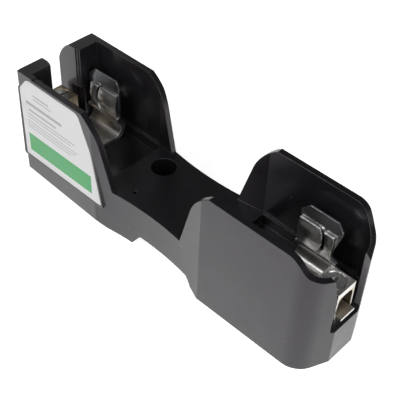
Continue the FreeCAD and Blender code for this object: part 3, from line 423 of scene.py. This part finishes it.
def warm_bore(material, tone):
    """Tint the inside of the wire hole, found by its place across and up."""
    tree = material.node_tree
    shader = tree.nodes["Principled BSDF"]
    where = tree.nodes.new("ShaderNodeTexCoord").outputs["Object"]
    split = put(tree, "ShaderNodeSeparateXYZ", {"Vector": where})
    across, up = math_node(tree, "ABSOLUTE", split.outputs["Y"]), split.outputs["Z"]
    mask = math_node(tree, "LESS_THAN", across, BORE_HALF)
    mask = math_node(tree, "MULTIPLY", mask, math_node(tree, "GREATER_THAN", up, BORE_LOW))
    mask = math_node(tree, "MULTIPLY", mask, math_node(tree, "LESS_THAN", up, BORE_HIGH))
    plain = shader.inputs["Base Color"].links[0].from_socket
    tree.links.new(tint(tree, mask, plain, tuple(tone)), shader.inputs["Base Color"])


def clothe(node, material):
    """Give a CAD node its material in every slot."""
    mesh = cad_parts[node].data
    if not mesh.materials:
        mesh.materials.append(material)
    for index in range(len(mesh.materials)):
        mesh.materials[index] = material


class FUSEBLOCK_OT_plastic(bpy.types.Operator):
    """Give the base and the rail latch their moulded plastic"""

    bl_idname = "fuseblock.plastic"
    bl_label = "Plastic parts"

    def execute(self, context):
        settings = context.scene.fuse_plastic
        clothe("base", plastic("moulded plastic", settings))
        clothe("rail_latch", plastic("latch plastic", settings, 0.1, 0.2))
        return {"FINISHED"}


# Pressed clips, in millimetres from the middle of the clip and over the floor of the cups

CLIP_X = 62.0
FLOOR_UP = 18.2
ROW_STEP = 0.45
BEND_STEPS = 5
HALF_CLIP = 9.8
CONTACT_BENDS = (
    # across, up, bend radius
    (0.0, 1.6, 0.0), (11.2, 1.6, 5.0), (14.0, 6.5, 2.8), (11.1, 10.0, 0.3),
    (10.6, 10.7, 0.3), (11.0, 11.6, 0.5), (10.3, 18.3, 5.0), (10.9, 24.4, 0.0),
)
SPRING_BENDS = (
    (0.0, 0.5, 0.0), (12.5, 0.5, 5.0), (15.3, 6.5, 2.8), (12.2, 11.0, 0.8),
    (12.1, 18.3, 2.5), (12.1, 25.2, 1.6), (13.4, 30.1, 0.0),
)
TONGUE_BENDS = ((9.75, 1.6, 0.0), (10.1, 1.6, 0.4), (11.3, 3.9, 0.6), (25.2, 3.9, 0.0))
SLIT_FOOT, SLIT_TOP, SLIT_AT, SLIT_HALF, SLIT_R = 11.9, 25.2, 0.7, 0.95, 10.0
FINGER_INNER, FINGER_OUTER, FINGER_SHORT_TOP = -9.2, 7.4, 24.0
INNER_COLUMNS, OUTER_COLUMNS = 10, 6
SWELL_INNER, SWELL_OUTER = 1.2, 0.5
NECK, NECK_LOW, NECK_FOOT = 3.0, 10.6, 13.0
FLARE_FOOT, FLARE_END, FLARE_HALF = 27.2, 30.1, 6.85
SWELL_RUN, CREST_RUN, CREST_OVER = 7.0, 4.0, 0.6
CONTACT_THICK, SPRING_THICK = 1.2, 1.0
TONGUE_HALF, TONGUE_COLUMNS = 4.1, 4
WINDOW_LEFT, WINDOW_RIGHT = 0.09, 0.88  # shares of the spring's width
WINDOW_FOOT, WINDOW_TOP, WINDOW_COLUMNS = 12.4, 21.0, 8


def bent_line(corners):
    """Evenly spaced points along straight runs joined by rounded bends."""
    points = [Vector(corners[0][:2])]
    for before, here, after in zip(corners, corners[1:], corners[2:]):
        start, corner, end = (Vector(item[:2]) for item in (before, here, after))
        back, ahead = (start - corner).normalized(), (end - corner).normalized()
        reach = here[2] / math.tan(back.angle(ahead) / 2)
        for step in range(BEND_STEPS + 1):
            t = step / BEND_STEPS
            bend = corner + back * reach * (1 - t) ** 2 + ahead * reach * t ** 2
            points.append(bend)
    points.append(Vector(corners[-1][:2]))
    rows = [points[0]]
    for first, second in zip(points, points[1:]):
        parts = max(1, round((second - first).length / ROW_STEP))
        rows += [first.lerp(second, (part + 1) / parts) for part in range(parts)]
    return rows


def ease(value, low, high):
    """Smooth step from nought at low to one at high."""
    t = min(1.0, max(0.0, (value - low) / (high - low)))
    return t * t * (3 - 2 * t)


def pressed(name, rows, columns, place, keep, thick):
    """A sheet on a grid of rows and columns, without the faces that keep leaves out."""
    bpy.ops.mesh.primitive_grid_add(x_subdivisions=columns, y_subdivisions=len(rows) - 1)
    piece = bpy.context.active_object
    piece.name = name
    for index, vertex in enumerate(piece.data.vertices):
        row, line = divmod(index, columns + 1)
        vertex.co = Vector(place(rows[row], line)) / 1000
    shape = bmesh.new()
    shape.from_mesh(piece.data)
    shape.faces.ensure_lookup_table()
    doomed = []
    for index, face in enumerate(shape.faces):
        row, column = divmod(index, columns)
        up = (rows[row][1] + rows[row + 1][1]) / 2
        if not keep(up, column):
            doomed.append(face)
    bmesh.ops.delete(shape, geom=doomed, context="FACES")
    bmesh.ops.recalc_face_normals(shape, faces=shape.faces)
    shape.to_mesh(piece.data)
    shape.free()
    solid = piece.modifiers.new("thickness", "SOLIDIFY")
    solid.thickness = thick / 1000
    solid.offset = 0.0
    solid.use_even_offset = True
    bpy.ops.object.modifier_apply(modifier=solid.name)
    bpy.ops.object.shade_smooth_by_angle(angle=SMOOTH_ANGLE)
    return piece


def stand_for(piece, node, material):
    """Let a piece take a CAD node's place, in a material."""
    piece.data.materials.clear()
    piece.data.materials.append(material)
    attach(piece, "root")
    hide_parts(node)


def settle(piece, node, turned, material):
    """Move a sheet to its end of the block, in the place of a clip's node."""
    turn = Matrix.Rotation(math.pi, 4, "Z") if turned else Matrix.Identity(4)
    shift = Vector((-CLIP_X if turned else CLIP_X, 0, FLOOR_UP)) / 1000
    piece.data.transform(Matrix.Translation(shift) @ turn)
    stand_for(piece, node, material)


def both_sides(corners):
    """The rows of a bent line and of its mirror image, from end to end."""
    half = bent_line(corners)
    return [Vector((-point.x, point.y)) for point in reversed(half[1:])] + half


def slit_shift(up):
    """How far the slit's curve stands towards the terminal at a height."""
    middle, reach = (SLIT_FOOT + SLIT_TOP) / 2, (SLIT_TOP - SLIT_FOOT) / 2
    along = max(-reach, min(reach, up - middle))
    return math.sqrt(SLIT_R ** 2 - along ** 2) - math.sqrt(SLIT_R ** 2 - reach ** 2)


def contact_lines(up):
    """Where the grid lines of the contact run at a height."""
    left = SLIT_AT - SLIT_HALF + slit_shift(up)
    right = SLIT_AT + SLIT_HALF + slit_shift(up)
    lines = [-HALF_CLIP]
    for start, end, columns in (
            (FINGER_INNER, left, INNER_COLUMNS), (right, FINGER_OUTER, OUTER_COLUMNS)):
        lines += [start + (end - start) * step / columns for step in range(columns + 1)]
    return lines + [HALF_CLIP]


def contact_place(row, line):
    """Where a grid point of the contact lies, with the fingers domed towards the fuse."""
    across, up = row
    lines = contact_lines(up)
    inner = 1 <= line <= INNER_COLUMNS + 1
    low, high = (1, INNER_COLUMNS + 1) if inner else (INNER_COLUMNS + 2, len(lines) - 2)
    share = min(1.0, max(0.0, (line - low) / (high - low))) * 2 - 1
    rise = (SWELL_INNER if inner else SWELL_OUTER) * (1 - share * share)
    rise *= ease(up, SLIT_FOOT, SLIT_FOOT + SWELL_RUN)
    rise *= ease(CONTACT_BENDS[-1][1] + CREST_OVER - up, 0.0, CREST_RUN)
    if line in (0, len(lines) - 1):
        rise = 0.0
    return lines[line], across - math.copysign(rise, across), up


def contact_keep(up, column):
    """Whether the contact has metal there: not in the slit, nor past its fingers."""
    if up < SLIT_FOOT:
        return True
    last = INNER_COLUMNS + OUTER_COLUMNS + 2
    if column in (0, INNER_COLUMNS + 1, last):
        return False
    return column <= INNER_COLUMNS or up < FINGER_SHORT_TOP


def contact_sheet(name):
    """Tinned contact: seat, cradle and two fingers a side, with the terminal tongue."""
    columns = INNER_COLUMNS + OUTER_COLUMNS + 3
    cradle = pressed(
        name, both_sides(CONTACT_BENDS), columns, contact_place, contact_keep, CONTACT_THICK)
    step = 2 * TONGUE_HALF / TONGUE_COLUMNS
    tongue = pressed(
        name + "_tongue", bent_line(TONGUE_BENDS), TONGUE_COLUMNS,
        lambda row, line: (row[0], TONGUE_HALF - line * step, row[1]),
        lambda up, column: True, CONTACT_THICK)
    cradle.select_set(True)
    tongue.select_set(True)
    bpy.context.view_layer.objects.active = cradle
    bpy.ops.object.join()
    return cradle


def spring_place(row, line):
    """Where a grid point of the spring lies, narrowed at its neck and its flare."""
    across, up = row
    cut = max(0.0, (up - FLARE_FOOT) / (FLARE_END - FLARE_FOOT)) * (HALF_CLIP - FLARE_HALF)
    waist = NECK * ease(up, NECK_LOW, NECK_FOOT) * (1 - ease(up, NECK_FOOT, FLARE_FOOT))
    left, right = -HALF_CLIP + cut, HALF_CLIP - cut - waist
    wide = WINDOW_RIGHT - WINDOW_LEFT
    inner = [WINDOW_LEFT + wide * step / WINDOW_COLUMNS for step in range(WINDOW_COLUMNS + 1)]
    shares = [0.0] + inner + [1.0]
    return left + (right - left) * shares[line], across, up


def spring_keep(up, column):
    """Whether the spring has metal there: not in its window."""
    return not (1 <= column <= WINDOW_COLUMNS and WINDOW_FOOT < up < WINDOW_TOP)


class FUSEBLOCK_OT_clips(bpy.types.Operator):
    """Shape the pressed contacts and their reinforcing springs"""

    bl_idname = "fuseblock.clips"
    bl_label = "Pressed clips"

    def execute(self, context):
        tin, steel = (bpy.data.materials[name] for name in ("tinned copper", "spring steel"))
        for end, turned in (("left", True), ("right", False)):
            bpy.ops.object.select_all(action="DESELECT")
            contact = contact_sheet("contact_sheet_" + end)
            settle(contact, "clip_" + end, turned, tin)
            bpy.ops.object.select_all(action="DESELECT")
            spring = pressed(
                "spring_sheet_" + end, both_sides(SPRING_BENDS), WINDOW_COLUMNS + 2,
                spring_place, spring_keep, SPRING_THICK)
            settle(spring, "spring_" + end, turned, steel)
        return {"FINISHED"}


def copy_of(node, name, material):
    """A copy of a CAD node that stands in its place, in a material."""
    bpy.ops.object.select_all(action="DESELECT")
    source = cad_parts[node]
    source.select_set(True)
    bpy.context.view_layer.objects.active = source
    bpy.ops.object.duplicate()
    piece = bpy.context.active_object
    piece.name = name
    stand_for(piece, node, material)
    return piece


class FUSEBLOCK_OT_latch(bpy.types.Operator):
    """Stand a copy of the latch spring, with a mesh of its own, in the latch spring's place"""

    bl_idname = "fuseblock.latch"
    bl_label = "Latch spring"

    def execute(self, context):
        steel = bpy.data.materials["spring steel"]
        coil = copy_of("latch_spring", "latch_coil", steel)
        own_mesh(coil)
        return {"FINISHED"}


class FUSEBLOCK_OT_metal(bpy.types.Operator):
    """Give the clips, springs, lugs, screws and inserts their metal"""

    bl_idname = "fuseblock.metal"
    bl_label = "Metal parts"

    def execute(self, context):
        settings = context.scene.fuse_metal
        tin = metal("tinned copper", settings.tin, 0.26, 0.36, 0.02, (10.0, 2.0, 2.0), 0.85)
        steel = metal("spring steel", settings.steel, 0.26, 0.38, 0.08, (2.0, 10.0, 10.0), 0.8)
        drawn = (8.0, 8.0, 2.0)
        alloy = metal("bright aluminium", settings.aluminium, 0.24, 0.34, 0.03, drawn, 0.85)
        dull = metal("dull aluminium", settings.tarnish, 0.3, 0.5, 0.1, drawn, 0.75)
        for lug in (alloy, dull):
            warm_bore(lug, settings.tarnish)
        zinc = metal("zinc plate", settings.zinc, 0.2, 0.4, 0.1, (3.0, 3.0, 3.0), 0.8)
        brass = metal("turned brass", settings.brass, 0.2, 0.4, 0.1, (3.0, 3.0, 12.0), 0.7)
        plan = {
            "clip_left": tin, "clip_right": tin, "spring_left": steel, "spring_right": steel,
            "lug_left": dull, "lug_right": alloy, "lug_screw_left": zinc, "lug_screw_right": zinc,
            "clip_screws": zinc, "clip_washers": zinc, "inserts": brass,
            "latch_spring": steel, "latch_keeper": steel, "keeper_screws": zinc,
        }
        for node, material in plan.items():
            clothe(node, material)
        return {"FINISHED"}


LABEL_BARS = (
    # left, right, low and high, in millimetres along X and up Z
    (-70.5, -60.0, 49.4, 50.2), (-70.5, -58.5, 47.6, 48.2),
    (-76.0, -52.0, 43.2, 44.8),
    (-74.5, -56.0, 39.9, 40.9), (-75.5, -44.0, 37.6, 38.2), (-75.5, -46.5, 35.9, 36.4),
    (-76.5, -42.5, 33.6, 34.1), (-76.5, -44.0, 32.0, 32.5), (-76.5, -47.0, 30.4, 30.9),
)
GREEN_FIELD = (-76.5, -34.5, 16.5, 26.5)


def printed(tree, where, edges):
    """Mask of one printed rectangle, from its edges in millimetres."""
    values = {key: edge / 1000 for key, edge in zip(("Left", "Right", "Low", "High"), edges)}
    return effect(tree, "field", {"Vector": where, **values}).outputs["Mask"]


class FUSEBLOCK_OT_label(bpy.types.Operator):
    """Print grey bars and a green field on the label"""

    bl_idname = "fuseblock.label"
    bl_label = "Label"

    def execute(self, context):
        settings = context.scene.fuse_label
        material, tree, shader, where = new_material("coated label", {
            "Metallic": 0.0, "Coat Weight": 0.25, "Coat Roughness": 0.3})
        grain = effect(tree, "grain", {
            "Vector": where, "Size": 0.0004, "Low": 0.38, "High": 0.55,
            "Relief": 0.08, "Relief Depth": 0.00002})
        bars = None
        for edges in LABEL_BARS:
            mask = printed(tree, where, edges)
            bars = mask if bars is None else math_node(tree, "MAXIMUM", bars, mask)
        green = printed(tree, where, GREEN_FIELD)
        soil = spread(tree, cloud(tree, where, SOIL, 4.0, 0.6), 0.5, 0.8, 0.0, 0.25)
        soiled = tuple(channel * 0.82 for channel in settings.paper[:3]) + (1.0,)
        paper = tint(tree, soil, tuple(settings.paper), soiled)
        inked = tint(tree, bars, paper, tuple(settings.ink))
        colour = tint(tree, green, inked, tuple(settings.field))
        tree.links.new(colour, shader.inputs["Base Color"])
        tree.links.new(grain.outputs["Roughness"], shader.inputs["Roughness"])
        tree.links.new(grain.outputs["Normal"], shader.inputs["Normal"])
        piece = copy_of("label", "label_sheet", material)
        for vertex in piece.data.vertices:
            vertex.co.x = max(vertex.co.x, SHOULDER_X)
        return {"FINISHED"}


LAMPS = (
    # name, place, what it points at, size, power in watts
    ("front softbox", (-0.25, -0.9, 0.55), (0, 0, 0.03), (0.9, 0.7), 5.5),
    ("right softbox", (0.95, -0.35, 0.4), (0.05, 0, 0.03), (0.6, 0.6), 6.0),
    ("front high softbox", (-0.5, -0.65, 0.95), (0, 0, 0.03), (0.5, 0.5), 2.4),
    ("top softbox", (0.35, -0.3, 1.2), (0, 0, 0.03), (0.6, 0.5), 2.0),
    ("left softbox", (-0.85, 0.5, 0.65), (0, 0, 0.03), (0.35, 0.35), 0.2),
)
FLOOR_SIZE, FLOOR_GLOW = 6.0, 0.8


def lamp(name, place, aim, size, power):
    """Hang one soft rectangular lamp."""
    data = bpy.data.lights.new(name, "AREA")
    data.shape = "RECTANGLE"
    data.size, data.size_y = size
    data.energy = power
    light = bpy.data.objects.new(name, data)
    light.location = place
    light.rotation_euler = (Vector(aim) - Vector(place)).to_track_quat("-Z", "Y").to_euler()
    bpy.context.scene.collection.objects.link(light)


class FUSEBLOCK_OT_stage(bpy.types.Operator):
    """Set up the pale floor, the soft lamps, the room light and the camera"""

    bl_idname = "fuseblock.stage"
    bl_label = "Studio"

    def execute(self, context):
        settings = context.scene.fuse_studio
        scene = context.scene
        scene.view_settings.view_transform = "Standard"
        bpy.ops.object.select_all(action="DESELECT")
        under = CAD_BOX[0][2] - FLOOR_GAP
        bpy.ops.mesh.primitive_plane_add(size=FLOOR_SIZE, location=(0, 0, under))
        floor = context.active_object
        floor.name = "floor"
        material = bpy.data.materials.new("floor paper")
        material.use_nodes = True
        tree = material.node_tree
        tree.nodes.clear()
        path = tree.nodes.new("ShaderNodeLightPath")
        seen = path.outputs["Is Camera Ray"]
        for ray in ("Is Glossy Ray", "Is Transmission Ray"):
            seen = math_node(tree, "MAXIMUM", seen, path.outputs[ray])
        paper = put(tree, "ShaderNodeBsdfDiffuse", {"Color": tuple(settings.floor_tone)})
        glow = put(tree, "ShaderNodeEmission", {"Color": WHITE, "Strength": FLOOR_GLOW})
        lit = put(tree, "ShaderNodeAddShader", {0: paper.outputs[0], 1: glow.outputs[0]})
        mixed = put(tree, "ShaderNodeMixShader", {
            0: seen, 1: paper.outputs[0], 2: lit.outputs[0]})
        out = tree.nodes.new("ShaderNodeOutputMaterial")
        tree.links.new(mixed.outputs[0], out.inputs["Surface"])
        floor.data.materials.append(material)

        world = bpy.data.worlds.new("room")
        world.use_nodes = True
        air = world.node_tree
        backdrop = air.nodes["Background"]
        backdrop.inputs["Color"].default_value = WHITE
        looked_at = air.nodes.new("ShaderNodeLightPath").outputs["Is Camera Ray"]
        strength = spread(air, looked_at, 0.0, 1.0, settings.sky, 1.0)
        air.links.new(strength, backdrop.inputs["Strength"])
        scene.world = world
        for entry in LAMPS:
            lamp(*entry)

        data = bpy.data.cameras.new("camera")
        data.sensor_width = 36.0
        data.lens = settings.lens
        data.clip_start = 0.01
        data.clip_end = 20.0
        camera = bpy.data.objects.new("camera", data)
        camera.location = settings.eye
        camera.rotation_euler = settings.turn
        scene.collection.objects.link(camera)
        scene.camera = camera
        return {"FINISHED"}


class FUSEBLOCK_PT_panel(bpy.types.Panel):
    """Lists the steps that dress the fuse block"""

    bl_idname = "FUSEBLOCK_PT_panel"
    bl_label = "Fuse block"
    bl_space_type = "VIEW_3D"
    bl_region_type = "UI"
    bl_category = "Fuse block"

    def draw(self, context):
        layout = self.layout
        scene = context.scene
        for group in (scene.fuse_plastic, scene.fuse_metal, scene.fuse_label, scene.fuse_studio):
            box = layout.box()
            for key in group.__annotations__:
                box.prop(group, key)
        for operator in OPERATORS:
            layout.operator(operator.bl_idname)


OPERATORS = (
    FUSEBLOCK_OT_plastic,
    FUSEBLOCK_OT_metal,
    FUSEBLOCK_OT_clips,
    FUSEBLOCK_OT_latch,
    FUSEBLOCK_OT_label,
    FUSEBLOCK_OT_stage,
)
SETTINGS = (
    ("fuse_plastic", PlasticSettings),
    ("fuse_metal", MetalSettings),
    ("fuse_label", LabelSettings),
    ("fuse_studio", StudioSettings),
)


def register():
    for name, group in SETTINGS:
        bpy.utils.register_class(group)
        setattr(bpy.types.Scene, name, bpy.props.PointerProperty(type=group))
    for cls in OPERATORS + (FUSEBLOCK_PT_panel,):
        bpy.utils.register_class(cls)


def unregister():
    for cls in reversed(OPERATORS + (FUSEBLOCK_PT_panel,)):
        bpy.utils.unregister_class(cls)
    for name, group in reversed(SETTINGS):
        delattr(bpy.types.Scene, name)
        bpy.utils.unregister_class(group)


def main():
    register()
    bpy.ops.object.select_all(action="DESELECT")
    bpy.ops.fuseblock.plastic()
    bpy.ops.fuseblock.metal()
    bpy.ops.fuseblock.clips()
    bpy.ops.fuseblock.latch()
    bpy.ops.fuseblock.label()
    bpy.ops.fuseblock.stage()


if __name__ == "__main__":
    main()
